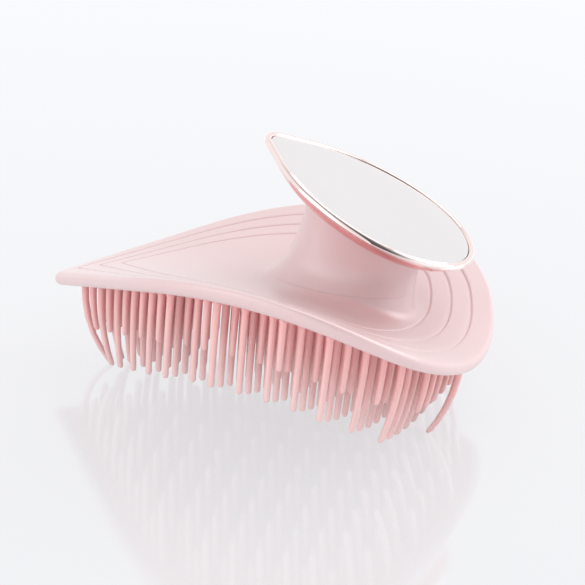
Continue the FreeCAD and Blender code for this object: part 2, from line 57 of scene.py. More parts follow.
# Points on each stretch of half a teardrop
TIP_STEPS = 8
FLANK_STEPS = 30
LONG_ARC_STEPS = 40
SHOULDER_STEPS = 44
END_ARC_STEPS = 16
LEAST_END_REACH = 0.05  # below this there is no end arc

# Leaf
LEAF = dict(tip=66.5, wide_at=23.0, half_width=54.5, tip_angle=44.0, end=63.0, shoulder=36.0)
LEAF_TIP_ROUND = 2.2
GROOVE_TIP_ROUND = 0.9
LEAF_THICKNESS = 4.0
ARCH = 176.0
DISH = 145.0
RIM_ROUND = 1.4
RIM_UNDER_ROUND = 2.4
RIM_SPARE = 0.2  # keeps the rim inside the solid's outline
GROOVES = (6.35, 12.25, 18.15)
GROOVE_TIP_SHARE = 0.78
GROOVE_WIDTH = 1.0
GROOVE_DEPTH = 0.45
BED_INSET = 3.0
BED_THICKNESS = 1.8
BED_SEAT_INSETS = (8.0, 13.5)
GROOVE_RINGS = 7
LAND_RINGS = 19
LEAST_RING_GAP = 0.35
FOOT_RINGS = 44
ROUND_RINGS = 6
CLOSING_SHARES = np.linspace(0.85, 0.1, 6)

# Neck
SEAM_Z = 2.0
SEAM_EASE = 0.05
SEAM_EASE_SHARE = 0.3
FOOT_ROUND = 3.4
FOOT_RUN = 2.6
FOOT_RUN_SHARE = 0.6
FOOT_LEAST_SLOPE = 0.06
CORE_X = 24.0
CORE_HALF = (11.0, 6.0)
CORE_SEAT = 0.6
HEAD_CENTRE = np.array((24.6, 0.0, 27.2))
HEAD_TILT = math.radians(22.5)
NECK_SHARES = (0.0, 0.10, 0.26, 0.45, 0.71, 1.0)
NECK_PAST_CENTRE = 5.8
NECK_HEIGHT = HEAD_CENTRE[2] + NECK_PAST_CENTRE - SEAM_Z
NECK_CENTRES = (20.6, 22.2, 23.8, 25.7, 28.1, 31.2)
NECK_HALF_LENGTHS = (20.9, 19.3, 18.4, 18.5, 19.3, 19.7)
NECK_HALF_WIDTHS = (15.0, 12.6, 11.2, 11.4, 12.6, 14.6)
NECK_SIDES = 120
NECK_RINGS = 46
NECK_TRIAL_HEIGHTS = 240

# Mirror head
MIRROR = dict(tip=32.6, wide_at=7.5, half_width=25.4, tip_angle=48.7, end=32.9, shoulder=25.4)
MIRROR_TIP_ROUND = 6.0
MIRROR_LEAST_ROUND = 0.5
MIRROR_THICKNESS = 2.0
MIRROR_FLAT_INSETS = (16.0, 8.0)
MIRROR_EDGE_INSETS = (0.6, 0.4, 0.2, 0.12)
MIRROR_EDGE_HEIGHTS = (0.0, -0.03, -0.14, -0.35)
TAPE_THICKNESS = 0.6
FRAME_WALL = 1.9
FRAME_LIP = 0.4
FRAME_FLOOR = 2.0
WELL_DEPTH = MIRROR_THICKNESS + TAPE_THICKNESS
WELL_FLOOR_INSET = 10.0
LIP_INNER_Z = -0.1
LIP_OUTER_Z = -0.9
UNDER_RUN = 4.6
UNDER_BULGE = 0.25
UNDER_FLAT_INSETS = (6.0, 14.0)
FRAME_UNDER = -(WELL_DEPTH + FRAME_FLOOR)
LIP_RINGS = 8
UNDER_RINGS = 8
# Where the painted reflection of the shaded leaf begins on the tray's underside, and over what
# depth it fades in.
PAINTED_REFLECTION_FROM = 1.2
PAINTED_REFLECTION_FADE = 0.8

# Bristles
PITCH = 8.1
LATTICE_LEAD = 0.7
LATTICE_REACH = 30
ROOT_ARCH_AT = 0.7  # of the way to the tip, where the roots' parabola meets the underside
FIELD_MARGIN = 5.4
LONG = 24.0
SHORT = 14.2
ROOT_RADIUS = 1.15
TIP_RADIUS = 0.9
BALL_RADIUS = 1.4
LEAN = math.radians(1.0)
FAN = math.radians(18.0)
ROOT_LEAN_SHARE = 0.15  # of the lean, the part that the bristle has from its root on
TIP_END_BOW = 11.0
ROUND_END_BOW = 4.0
BRISTLE_SIDES = 8
BALL_RING_DEPTHS = (-0.9, 0.1)
SHAFT_RING_SHARES = (0.25, 0.45, 0.65, 0.82)
LAST_RING_DEPTH = 0.3  # above the tip's end, as a share of the tip's radius
LAST_RING_RADIUS = 0.7

# Stage
FLOOR_HALF = 2.5
CAMERA_SIDE = (0.30, -0.85, 0.43)
BRUSH_MIDDLE = (0.0, 0.0, 0.03)
ROUND_END = (0.03, 0.0, 0.03)


def turn_x(angle):
    """The matrix that turns points about X."""
    c, s = math.cos(angle), math.sin(angle)
    return np.array(((1, 0, 0), (0, c, -s), (0, s, c)))


def turn_y(angle):
    """The matrix that turns points about Y."""
    c, s = math.cos(angle), math.sin(angle)
    return np.array(((c, 0, s), (0, 1, 0), (-s, 0, c)))


REST_TURN = turn_x(REST_ROLL) @ turn_y(REST_PITCH)
mirror_mount = next(m for m in frame["record"]["mounts"] if m["name"] == "mirror_face")
REST_SHIFT = np.array(mirror_mount["pos_m"]) / MM - REST_TURN @ HEAD_CENTRE


def to_row(points):
    """Design frame in millimetres to the row frame in metres: the resting turn, then the shift."""
    return (points @ REST_TURN.T + REST_SHIFT) * MM


def to_head(points):
    """The head's own flat frame to the design frame: the head's tilt, then its centre."""
    return points @ turn_y(HEAD_TILT).T + HEAD_CENTRE


def smooth_step(x):
    """0 up to 0, 1 from 1 on, and between them three times the square less twice the cube."""
    x = np.clip(x, 0.0, 1.0)
    return x * x * (3 - 2 * x)


# Meshes

def mesh_piece(name, vertices, faces, material, body, sharp=None):
    """One mesh object at the origin, with its place in its vertices, riding on a body."""
    mesh = bpy.data.meshes.new(name)
    mesh.from_pydata(vertices.tolist(), [], faces)
    mesh.polygons.foreach_set("use_smooth", np.ones(len(mesh.polygons), bool))
    if sharp is not None:
        mesh.set_sharp_from_angle(angle=math.radians(sharp))
    mesh.materials.append(material)
    mesh.update()
    piece = bpy.data.objects.new(name, mesh)
    bpy.context.scene.collection.objects.link(piece)
    if body:
        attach(piece, body)
    return piece


def mark(piece, attribute, values):
    """Gives each vertex of a piece a value that its finish can read."""
    layer = piece.data.attributes.new(attribute, "FLOAT", "POINT")
    layer.data.foreach_set("value", np.asarray(values, np.float32).reshape(-1))


def ring_faces(rows, columns, first=0, loop=False):
    """Quads between neighbouring rings of a grid whose columns close on themselves."""
    row = np.arange(rows if loop else rows - 1)[:, None]
    column = np.arange(columns)[None, :]
    after = (column + 1) % columns
    above = (row + 1) % rows
    corners = (row * columns + column, row * columns + after,
               above * columns + after, above * columns + column)
    quads = np.stack(np.broadcast_arrays(*corners), -1).reshape(-1, 4)
    return quads + first


def pole_faces(ring_start, columns, pole, flip):
    """A fan of triangles from one ring to a pole vertex."""
    column = np.arange(columns)
    after = (column + 1) % columns
    low, high = (after, column) if flip else (column, after)
    return np.stack((low + ring_start, high + ring_start, np.full(columns, pole)), -1)


def signed_volume(vertices, triangles):
    """Six times the volume: the sum of the triple products of all the triangles."""
    a, b, c = (vertices[triangles[:, k]] for k in range(3))
    return float(np.einsum("ij,ij->", a, np.cross(b, c)))


def outward(vertices, quads, triangles):
    """The faces as lists, turned round as a whole if they enclose a negative volume."""
    halves = [quads[:, (0, 1, 2)], quads[:, (0, 2, 3)]]
    if len(triangles):
        halves.append(triangles)
    if signed_volume(vertices - vertices.mean(0), np.concatenate(halves)) < 0:
        quads = quads[:, ::-1]
        triangles = triangles[:, ::-1]
    return quads.tolist() + triangles.tolist()


def turned_shell(rings):
    """Vertices and faces of a closed shell: rings joined in order, both ends shut by poles."""
    rows, columns = rings.shape[:2]
    poles = np.stack((rings[0].mean(0), rings[-1].mean(0)))
    vertices = np.concatenate((rings.reshape(-1, 3), poles))
    count = rows * columns
    quads = ring_faces(rows, columns)
    fans = np.concatenate((pole_faces(0, columns, count, True),
                           pole_faces(count - columns, columns, count + 1, False)))
    return vertices, outward(vertices, quads, fans)


def looped_shell(rings):
    """Vertices and faces of a closed tube ring: the last ring joins the first."""
    rows, columns = rings.shape[:2]
    vertices = rings.reshape(-1, 3)
    none = np.zeros((0, 3), int)
    return vertices, outward(vertices, ring_faces(rows, columns, loop=True), none)


# Curves and surfaces

def teardrop_rings(drop, insets, tip_rounds, tip_shares=1.0):
    """Closed teardrop rings, one for each inset, as an array of rings, points and (x, y).

    Half an outline is, from the tip: a small arc, a straight flank at the tip angle, a long
    arc that is level at the widest place, a shoulder arc, and where the end reaches beyond
    the shoulder a flatter end arc.  An inset shortens every radius and shifts the tip, by
    less than a parallel line would where the tip share is below 1.
    """
    inset = np.asarray(insets, float)[:, None]
    tip_round = np.broadcast_to(np.asarray(tip_rounds, float), (len(insets),))[:, None]
    tip_share = np.broadcast_to(np.asarray(tip_shares, float), (len(insets),))[:, None]
    slope = math.radians(drop["tip_angle"])
    wide_at, half_width = drop["wide_at"], drop["half_width"]
    apex = -drop["tip"] + tip_share * inset / math.sin(slope)
    width = half_width - inset
    flank = ((wide_at - apex) * math.sin(slope) - width * math.cos(slope)) / (1 - math.cos(slope))
    run = drop["end"] - wide_at
    shoulder = drop["shoulder"]
    shoulder_y = half_width - shoulder
    tip_x = apex + tip_round / math.sin(slope)

    def steps(count):
        return np.linspace(0.0, 1.0, count, endpoint=False)[None, :]

    turn = steps(TIP_STEPS) * (math.pi / 2 - slope)
    xs = [tip_x - tip_round * np.cos(turn)]
    ys = [tip_round * np.sin(turn)]
    start_x = tip_x - tip_round * math.sin(slope)
    start_y = tip_round * math.cos(slope)
    end_x = wide_at - flank * math.sin(slope)
    end_y = width - flank + flank * math.cos(slope)
    share = steps(FLANK_STEPS)
    xs.append(start_x + (end_x - start_x) * share)
    ys.append(start_y + (end_y - start_y) * share)
    turn = slope * (1 - steps(LONG_ARC_STEPS))
    xs.append(wide_at - flank * np.sin(turn))
    ys.append(width - flank + flank * np.cos(turn))
    flat = run - shoulder > LEAST_END_REACH
    last_turn = math.pi / 2
    if flat:
        end_arc = (run ** 2 + shoulder_y ** 2 - shoulder ** 2) / (2 * (run - shoulder))
        centre = drop["end"] - end_arc
        last_turn -= math.atan2(shoulder_y, wide_at - centre)
    turn = last_turn * steps(SHOULDER_STEPS)
    xs.append(wide_at + (shoulder - inset) * np.sin(turn))
    ys.append(shoulder_y + (shoulder - inset) * np.cos(turn))
    if flat:
        turn = (math.pi / 2 - last_turn) * (1 - steps(END_ARC_STEPS))
        xs.append(centre + (end_arc - inset) * np.cos(turn))
        ys.append((end_arc - inset) * np.sin(turn))
    xs.append(drop["end"] - inset)
    ys.append(np.zeros_like(inset))
    half = np.stack((np.concatenate(xs, 1), np.concatenate(ys, 1)), -1)
    other = half[:, -2:0:-1] * (1, -1)
    return np.concatenate((half, other), 1)


def saddle_height(x, y, depth):
    """Height of the leaf's saddle, depth below its top: a dish arc across, swept round the arch."""
    rise = DISH - np.sqrt((DISH + depth) ** 2 - y ** 2)
    return np.sqrt((ARCH + rise) ** 2 - x ** 2) - ARCH


def smooth_through(at, knots, values):
    """The natural cubic spline through the knots, and its slope, at the given places.

    Its second derivatives solve the usual three-term equations, with zeros at both ends.
    """
    knots = np.asarray(knots, float)
    values = np.asarray(values, float)
    gap = np.diff(knots)
    count = len(knots)
    matrix = np.eye(count)
    right = np.zeros(count)
    inner = np.arange(1, count - 1)
    matrix[inner, inner] = 2 * (gap[:-1] + gap[1:])
    matrix[inner, inner - 1] = gap[:-1]
    matrix[inner, inner + 1] = gap[1:]
    right[1:-1] = 6 * np.diff(np.diff(values) / gap)
    bend = np.linalg.solve(matrix, right)
    part = np.clip(np.searchsorted(knots, at) - 1, 0, count - 2)
    width = gap[part]
    after = (at - knots[part]) / width
    before = 1 - after
    value = (before * values[part] + after * values[part + 1]
             + width ** 2 / 6 * ((before ** 3 - before) * bend[part]
                                 + (after ** 3 - after) * bend[part + 1]))
    slope = ((values[part + 1] - values[part]) / width
             + width / 6 * ((1 - 3 * before ** 2) * bend[part]
                            + (3 * after ** 2 - 1) * bend[part + 1]))
    return value, slope


def neck_oval(z):
    """Centre, half length and half width of the neck's oval at a height, each with its slope."""
    knots = SEAM_Z + NECK_HEIGHT * np.asarray(NECK_SHARES)
    return [smooth_through(z, knots, values)
            for values in (NECK_CENTRES, NECK_HALF_LENGTHS, NECK_HALF_WIDTHS)]


def foot_lift(plan, seam, angle):
    """How far the neck's foot stands above the leaf, for plan points outside the seam oval.

    A straight wall with the neck's own slope comes down from the seam.  The last stretch is a
    parabola that leaves the wall on its slope and runs out level on the leaf: its height
    falls with (1 - t) squared while its run grows with 2 t times the first leg plus t squared
    times the rest.
    """
    (_, centre_slope), (_, length_slope), (_, width_slope) = neck_oval(np.array(SEAM_Z))
    height = SEAM_Z - saddle_height(seam[..., 0], seam[..., 1], 0.0)
    cos, sin = np.cos(angle), np.sin(angle)
    run = -(centre_slope * cos + length_slope * cos ** 2 + width_slope * sin ** 2)
    run = np.maximum(run, FOOT_LEAST_SLOPE)
    fillet = np.minimum(height, FOOT_ROUND)
    first_leg = fillet * run
    rest = FOOT_RUN_SHARE * fillet + FOOT_RUN
    distance = np.linalg.norm(plan - seam, axis=-1)
    past_wall = distance - run * (height - fillet)
    share = (np.sqrt(first_leg ** 2 + rest * np.maximum(past_wall, 0)) - first_leg) / rest
    curved = fillet * (1 - np.clip(share, 0, 1)) ** 2
    return np.where(past_wall > 0, curved, fillet - past_wall / run)


def groove_cut(inset):
    """Depth of the three fine grooves: a rounded dip across each groove's width."""
    middle = np.asarray(GROOVES)[None, :] + GROOVE_WIDTH / 2
    across = np.abs(np.asarray(inset)[:, None] - middle) / (GROOVE_WIDTH / 2)
    return GROOVE_DEPTH * (1 - smooth_step(across)).max(1)


def leaf_insets():
    """Ring insets from the innermost groove outwards, close together across each groove."""
    dips = np.asarray(GROOVES)[:, None] + GROOVE_WIDTH * np.linspace(0, 1, GROOVE_RINGS)[None, :]
    lands = np.linspace(RIM_ROUND + RIM_SPARE, GROOVES[-1] + GROOVE_WIDTH, LAND_RINGS)
    near = np.abs(lands[:, None] - dips.reshape(1, -1)).min(1) < LEAST_RING_GAP
    return np.sort(np.concatenate((lands[~near], dips.reshape(-1))))[::-1]


def leaf_plan(insets):
    """Leaf rings: parallel to the rim at the rim, sharper and nearer to the tip by the grooves."""
    ease = smooth_step(np.asarray(insets) / GROOVES[0])
    rounds = LEAF_TIP_ROUND + (GROOVE_TIP_ROUND - LEAF_TIP_ROUND) * ease
    return teardrop_rings(LEAF, insets, rounds, 1 + (GROOVE_TIP_SHARE - 1) * ease)


def leaf_shell_rings():
    """The leaf as rings: core socket, seam face, flared foot, grooved top, rim and underside."""
    insets = leaf_insets()
    top_plan = leaf_plan(insets)
    inner = top_plan[0]
    half = np.array((NECK_HALF_LENGTHS[0], NECK_HALF_WIDTHS[0]))
    middle = np.array((NECK_CENTRES[0], 0.0))
    angle = np.arctan2(inner[:, 1] / half[1], (inner[:, 0] - middle[0]) / half[0])
    unit = np.stack((np.cos(angle), np.sin(angle)), -1)
    seam = middle + half * unit
    core = np.array((CORE_X, 0.0)) + np.asarray(CORE_HALF) * unit

    share = np.linspace(0, 1, FOOT_RINGS, endpoint=False)[:, None, None] ** 2
    foot_plan = seam + (inner - seam) * share
    plan = np.concatenate((foot_plan, top_plan))
    cut = np.concatenate((np.zeros(len(foot_plan)), groove_cut(insets)))[:, None]
    lift = foot_lift(plan, seam[None], angle[None])
    top = saddle_height(plan[..., 0], plan[..., 1], 0.0) + lift - cut
    top[0] -= SEAM_EASE
    upper = np.concatenate((plan, top[..., None]), -1)

    def level(outline, z):
        return np.concatenate((outline, np.full((len(outline), 1), z)), -1)[None]

    socket = [level(core, CORE_SEAT), level(core, SEAM_Z - SEAM_EASE)]
    eased = middle + (half - SEAM_EASE) * unit
    socket.append(level(eased, SEAM_Z - SEAM_EASE_SHARE * SEAM_EASE))

    turn = np.linspace(0, math.pi / 2, ROUND_RINGS + 1)[1:]
    rim_inset = np.concatenate((RIM_SPARE + RIM_ROUND * (1 - np.sin(turn)),
                                RIM_SPARE + RIM_UNDER_ROUND * (1 - np.cos(turn)),
                                (BED_INSET, BED_INSET, *BED_SEAT_INSETS, insets[0])))
    bed_depth = LEAF_THICKNESS - BED_THICKNESS
    rim_depth = np.concatenate((RIM_ROUND * (1 - np.cos(turn)),
                                LEAF_THICKNESS - RIM_UNDER_ROUND * (1 - np.sin(turn)),
                                (LEAF_THICKNESS,), np.full(len(BED_SEAT_INSETS) + 2, bed_depth)))
    rim_plan = leaf_plan(rim_inset)
    closing = middle + (inner - middle) * CLOSING_SHARES[:, None, None]
    under_plan = np.concatenate((rim_plan, closing))
    under_depth = np.append(rim_depth, np.full(len(closing), bed_depth))[:, None]
    under = saddle_height(under_plan[..., 0], under_plan[..., 1], under_depth)
    lower = np.concatenate((under_plan, under[..., None]), -1)
    return np.concatenate(socket + [upper, lower])


def neck_sleeve_rings():
    """The waisted grip: ovals on a spline from the seam up to the head's sloping underside,
    then in to the core, down its bore and out again along the seam."""
    angle = np.linspace(0, 2 * math.pi, NECK_SIDES, endpoint=False)
    cos, sin = np.cos(angle), np.sin(angle)
    heights = np.linspace(SEAM_Z, SEAM_Z + NECK_HEIGHT, NECK_TRIAL_HEIGHTS)
    (centre, _), (half_length, _), _ = neck_oval(heights)
    xs = centre[:, None] + half_length[:, None] * cos
    above = ((xs - HEAD_CENTRE[0]) * math.sin(HEAD_TILT)
             + (heights[:, None] - HEAD_CENTRE[2]) * math.cos(HEAD_TILT) - FRAME_UNDER)
    first = np.maximum((above > 0).argmax(0), 1)
    column = np.arange(NECK_SIDES)
    low, high = above[first - 1, column], above[first, column]
    top = heights[first - 1] + (heights[first] - heights[first - 1]) * low / (low - high)

    share = np.linspace(0, 1, NECK_RINGS)[:, None]
    z = SEAM_Z + (top - SEAM_Z)[None, :] * share
    (centre, _), (half_length, _), (half_width, _) = neck_oval(z)
    side = np.stack((centre + half_length * cos, half_width * sin, z), -1)
    eased = side[0] - SEAM_EASE * np.stack((cos, sin, np.zeros(NECK_SIDES)), -1)
    side[0, :, 2] += SEAM_EASE
    core_x = CORE_X + CORE_HALF[0] * cos
    core_y = CORE_HALF[1] * sin
    core_top = HEAD_CENTRE[2] + (FRAME_UNDER - (core_x - HEAD_CENTRE[0])
                                 * math.sin(HEAD_TILT)) / math.cos(HEAD_TILT)
    bore_top = np.stack((core_x, core_y, core_top), -1)
    bore_low = np.stack((core_x, core_y, np.full(NECK_SIDES, SEAM_Z)), -1)
    return np.concatenate((eased[None], side, bore_top[None], bore_low[None]))


def head_rings(insets, heights):
    """Rings parallel to the mirror's teardrop at the given heights, tilted as the head is."""
    rounds = np.maximum(MIRROR_TIP_ROUND - np.asarray(insets), MIRROR_LEAST_ROUND)
    plan = teardrop_rings(MIRROR, insets, rounds)
    z = np.broadcast_to(np.asarray(heights, float)[:, None, None], plan.shape[:2] + (1,))
    return to_head(np.concatenate((plan, z), -1))


def mirror_frame_rings():
    """The plated tray: well floor, well wall, a narrow crowned lip and a sloping underside."""
    crown = np.linspace(0, math.pi / 2, LIP_RINGS + 1)[1:]
    half = FRAME_WALL / 2
    insets = [WELL_FLOOR_INSET, 0.0, 0.0]
    heights = [-WELL_DEPTH, -WELL_DEPTH, LIP_INNER_Z]
    insets += list(-half + half * np.cos(crown))
    heights += list(LIP_INNER_Z + (FRAME_LIP - LIP_INNER_Z) * np.sin(crown))
    insets += list(-half - half * np.sin(crown))
    heights += list(FRAME_LIP - (FRAME_LIP - LIP_OUTER_Z) * (1 - np.cos(crown)))
    slope = np.linspace(0, 1, UNDER_RINGS + 1)[1:]
    insets += list(-FRAME_WALL + UNDER_RUN * slope)
    fall = slope + UNDER_BULGE * slope * (1 - slope)
    heights += list(LIP_OUTER_Z + (FRAME_UNDER - LIP_OUTER_Z) * fall)
    insets += UNDER_FLAT_INSETS
    heights += [FRAME_UNDER, FRAME_UNDER]
    return head_rings(insets, heights)


def painted_reflection_share(rings):
    """0 on the tray's lip and in its well, 1 on its underside, for the rings and the two poles.

    It rises with the depth below the mirror's plane, as a smooth step, and lays on the tray's
    underside the deeper rose that is a painted reflection of the shaded pink leaf below.
    """
    well_rings = 3
    depth = (HEAD_CENTRE - rings) @ turn_y(HEAD_TILT)[:, 2]
    share = smooth_step((depth - PAINTED_REFLECTION_FROM) / PAINTED_REFLECTION_FADE)
    share[:well_rings] = 0.0
    return np.append(share.reshape(-1), (0.0, 1.0))


def mirror_rings():
    """The flat mirror: a level face, a fine ground edge, a straight side and the back."""
    back_insets = (MIRROR_EDGE_INSETS[-1], MIRROR_FLAT_INSETS[-1])
    insets = (*MIRROR_FLAT_INSETS, *MIRROR_EDGE_INSETS, *back_insets)
    heights = (0.0, 0.0, *MIRROR_EDGE_HEIGHTS, -MIRROR_THICKNESS, -MIRROR_THICKNESS)
    return head_rings(insets, heights)


# Bristles

def bristle_lattice():
    """Places of the bristles on the leaf: a diamond lattice inside the field's outline.

    Gives the root, whether it is a long one, and the number of its diagonal row.
    """
    under = ARCH - LEAF_THICKNESS
    root_arch = (under + math.sqrt(under ** 2 - (ROOT_ARCH_AT * LEAF["tip"]) ** 2)) / 2
    cross = PITCH * math.sqrt(DISH / root_arch)
    steps = np.arange(-LATTICE_REACH, LATTICE_REACH + 1)
    along, over = np.meshgrid(steps, steps, indexing="ij")
    along, over = along.reshape(-1), over.reshape(-1)
    x = LATTICE_LEAD + along * PITCH / 2
    y = over * cross / 2
    ring = teardrop_rings(LEAF, [FIELD_MARGIN], LEAF_TIP_ROUND)[0]
    half = ring[: len(ring) // 2 + 1]
    width = np.interp(x, half[:, 0], half[:, 1], left=-1.0, right=-1.0)
    keep = ((along + over) % 2 == 0) & (np.abs(y) <= width)
    x, y, along, over = x[keep], y[keep], along[keep], over[keep]
    row = (along - over) // 2
    _, number = np.unique(row, return_inverse=True)
    z = y ** 2 / (2 * DISH) - x ** 2 / (2 * root_arch) - LEAF_THICKNESS
    return np.stack((x, y, z), -1), along % 2 == 0, number + 1


def bristle_rings(roots, is_long):
    """All the bristles of one row as an array of bristles, rings, sides and (x, y, z).

    The middle line goes down and leans inwards, by a small part with the depth and for the
    rest with its square; the lean grows with the cube of the place along the leaf.  The line
    rises by half the lean's square over the depth, which about keeps its length.  The bristles
    at the two ends carry the weight and bow further, with the cube of the depth and the
    seventh power of the place along the leaf.  The radius is the ball's at the root, then
    tapers evenly, and rounds off at the tip.
    """
    length = np.where(is_long, LONG, SHORT)[:, None]
    neck = math.sqrt(BALL_RADIUS ** 2 - ROOT_RADIUS ** 2)
    depth = np.concatenate((np.broadcast_to((*BALL_RING_DEPTHS, neck), (len(roots), 3)),
                            length * np.array(SHAFT_RING_SHARES), length - TIP_RADIUS,
                            length - LAST_RING_DEPTH * TIP_RADIUS), 1)
    taper = ROOT_RADIUS + (TIP_RADIUS - ROOT_RADIUS) * depth / length
    radius = taper.copy()
    radius[:, :2] = np.sqrt(BALL_RADIUS ** 2 - depth[:, :2] ** 2)
    radius[:, -1] = LAST_RING_RADIUS * TIP_RADIUS
    along = roots[:, :1] / LEAF["end"]
    lean = LEAN - FAN * along ** 3

    def middle_line(depth):
        share = np.maximum(depth, 0) / LONG
        bend = ROOT_LEAN_SHARE * depth / LONG + (1 - ROOT_LEAN_SHARE) * share ** 2
        bow = LONG * np.sin(lean) * bend
        drop = depth - 0.5 * bow ** 2 / np.maximum(depth, 1.0)
        end_bow = np.where(along < 0, TIP_END_BOW, ROUND_END_BOW)
        return bow - end_bow * along ** 7 * share ** 3, drop

    bow, drop = middle_line(depth)
    angle = np.linspace(0, 2 * math.pi, BRISTLE_SIDES, endpoint=False)
    circle = np.stack((np.cos(angle), np.sin(angle)), -1)
    line = roots[:, None, :] + np.stack((bow, np.zeros_like(bow), -drop), -1)
    rings = np.repeat(line[:, :, None, :], BRISTLE_SIDES, 2)
    rings[..., :2] += radius[:, :, None, None] * circle
    apex_bow, apex_drop = (part[:, 0] for part in middle_line(length))
    tips = roots + np.stack((apex_bow, np.zeros_like(apex_bow), -apex_drop), -1)
    crowns = roots + np.array((0.0, 0.0, BALL_RADIUS))
    reach = np.concatenate((np.repeat(depth / LONG, BRISTLE_SIDES, 1),
                            np.zeros((len(roots), 1)), length / LONG), 1)
    return rings, crowns, tips, np.clip(reach, 0, 1)


def bristle_row(number, roots, is_long, material):
    """One diagonal row of bristles as one piece; "reach" is the depth as a share of a long one."""
    rings, crowns, tips, reach = bristle_rings(roots, is_long)
    count, rows = rings.shape[:2]
    per = rows * BRISTLE_SIDES
    vertices = np.concatenate((rings.reshape(count, per, 3), crowns[:, None], tips[:, None]), 1)
    quads = ring_faces(rows, BRISTLE_SIDES)
    fans = np.concatenate((pole_faces(0, BRISTLE_SIDES, per, True),
                           pole_faces(per - BRISTLE_SIDES, BRISTLE_SIDES, per + 1, False)))
    first = (np.arange(count) * (per + 2))[:, None, None]
    all_quads = (quads[None] + first).reshape(-1, 4)
    all_fans = (fans[None] + first).reshape(-1, 3)
    flat = to_row(vertices.reshape(-1, 3))
    name = "bristle_line_%02d" % number
    piece = mesh_piece(name, flat, outward(flat, all_quads, all_fans), material,
                       "row_%02d" % number)
    # reach also places the painted shade: the bristles are painted deeper rose towards their roots,
    # where the leaf shades them.
    mark(piece, "reach", reach)
    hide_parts("bristle_row_%02d" % number)
    return piece


# Finishes

def node_at(tree, kind, **sockets):
    """A new node with the named sockets set."""
    node = tree.nodes.new(kind)
    for label, value in sockets.items():
        node.inputs[label.replace("_", " ")].default_value = value
    return node


def make_grain_group():
    """Moulding grain: a soft mottle for the colour and a fine height for the bump."""
    group = bpy.data.node_groups.new("moulding_grain", "ShaderNodeTree")
    face = group.interface
    face.new_socket("Coordinates", in_out="INPUT", socket_type="NodeSocketVector")
    face.new_socket("Mottle Scale", in_out="INPUT", socket_type="NodeSocketFloat")
    face.new_socket("Grain Scale", in_out="INPUT", socket_type="NodeSocketFloat")
    face.new_socket("Mottle", in_out="OUTPUT", socket_type="NodeSocketFloat")
    face.new_socket("Grain", in_out="OUTPUT", socket_type="NodeSocketFloat")
    start = group.nodes.new("NodeGroupInput")
    end = group.nodes.new("NodeGroupOutput")
    mottle = node_at(group, "ShaderNodeTexNoise", Detail=3.0, Roughness=0.55)
    grain = node_at(group, "ShaderNodeTexNoise", Detail=2.0, Roughness=0.6)
    link = group.links.new
    link(start.outputs["Coordinates"], mottle.inputs["Vector"])
    link(start.outputs["Coordinates"], grain.inputs["Vector"])
    link(start.outputs["Mottle Scale"], mottle.inputs["Scale"])
    link(start.outputs["Grain Scale"], grain.inputs["Scale"])
    link(mottle.outputs["Fac"], end.inputs["Mottle"])
    link(grain.outputs["Fac"], end.inputs["Grain"])
    return group


GRAIN = make_grain_group()


def tone_ramp(tree, factor, light, dark):
    """A ramp between two tones, which takes up the middle of the mottle's range."""
    ramp = tree.nodes.new("ShaderNodeValToRGB")
    ramp.color_ramp.elements[0].position = 0.3
    ramp.color_ramp.elements[0].color = (*dark, 1)
    ramp.color_ramp.elements[1].position = 0.7
    ramp.color_ramp.elements[1].color = (*light, 1)
    tree.links.new(factor, ramp.inputs["Fac"])
    return ramp.outputs["Color"]


def finish(name, light, dark, roughness, mottle_scale, grain_scale, bump, second=None, **constants):
    """A finish whose colour goes between two tones with the mottle, whose roughness follows
    it, and whose surface has the grain as a fine bump.

    A second pair of tones, if there is one, takes over where the named attribute is 1.
    """
    material = bpy.data.materials.new(name)
    material.use_nodes = True
    tree = material.node_tree
    shader = tree.nodes["Principled BSDF"]
    for label, value in constants.items():
        shader.inputs[label.replace("_", " ")].default_value = value
    place = tree.nodes.new("ShaderNodeTexCoord")
    grain = tree.nodes.new("ShaderNodeGroup")
    grain.node_tree = GRAIN
    grain.inputs["Mottle Scale"].default_value = mottle_scale
    grain.inputs["Grain Scale"].default_value = grain_scale
    tone = tone_ramp(tree, grain.outputs["Mottle"], light, dark)
    if second:
        attribute, second_light, second_dark = second
        where = tree.nodes.new("ShaderNodeAttribute")
        where.attribute_name = attribute
        other = tone_ramp(tree, grain.outputs["Mottle"], second_light, second_dark)
        change = tree.nodes.new("ShaderNodeMixRGB")
        tree.links.new(where.outputs["Fac"], change.inputs["Fac"])
        tree.links.new(tone, change.inputs["Color1"])
        tree.links.new(other, change.inputs["Color2"])
        tone = change.outputs["Color"]
    gloss = node_at(tree, "ShaderNodeMapRange", To_Min=roughness[0], To_Max=roughness[1])
    relief = node_at(tree, "ShaderNodeBump", Strength=bump, Distance=0.0002)
    link = tree.links.new
    link(place.outputs["Object"], grain.inputs["Coordinates"])
    link(grain.outputs["Mottle"], gloss.inputs["Value"])
    link(grain.outputs["Grain"], relief.inputs["Height"])
    link(tone, shader.inputs["Base Color"])
    link(gloss.outputs["Result"], shader.inputs["Roughness"])
    link(relief.outputs["Normal"], shader.inputs["Normal"])
    return material


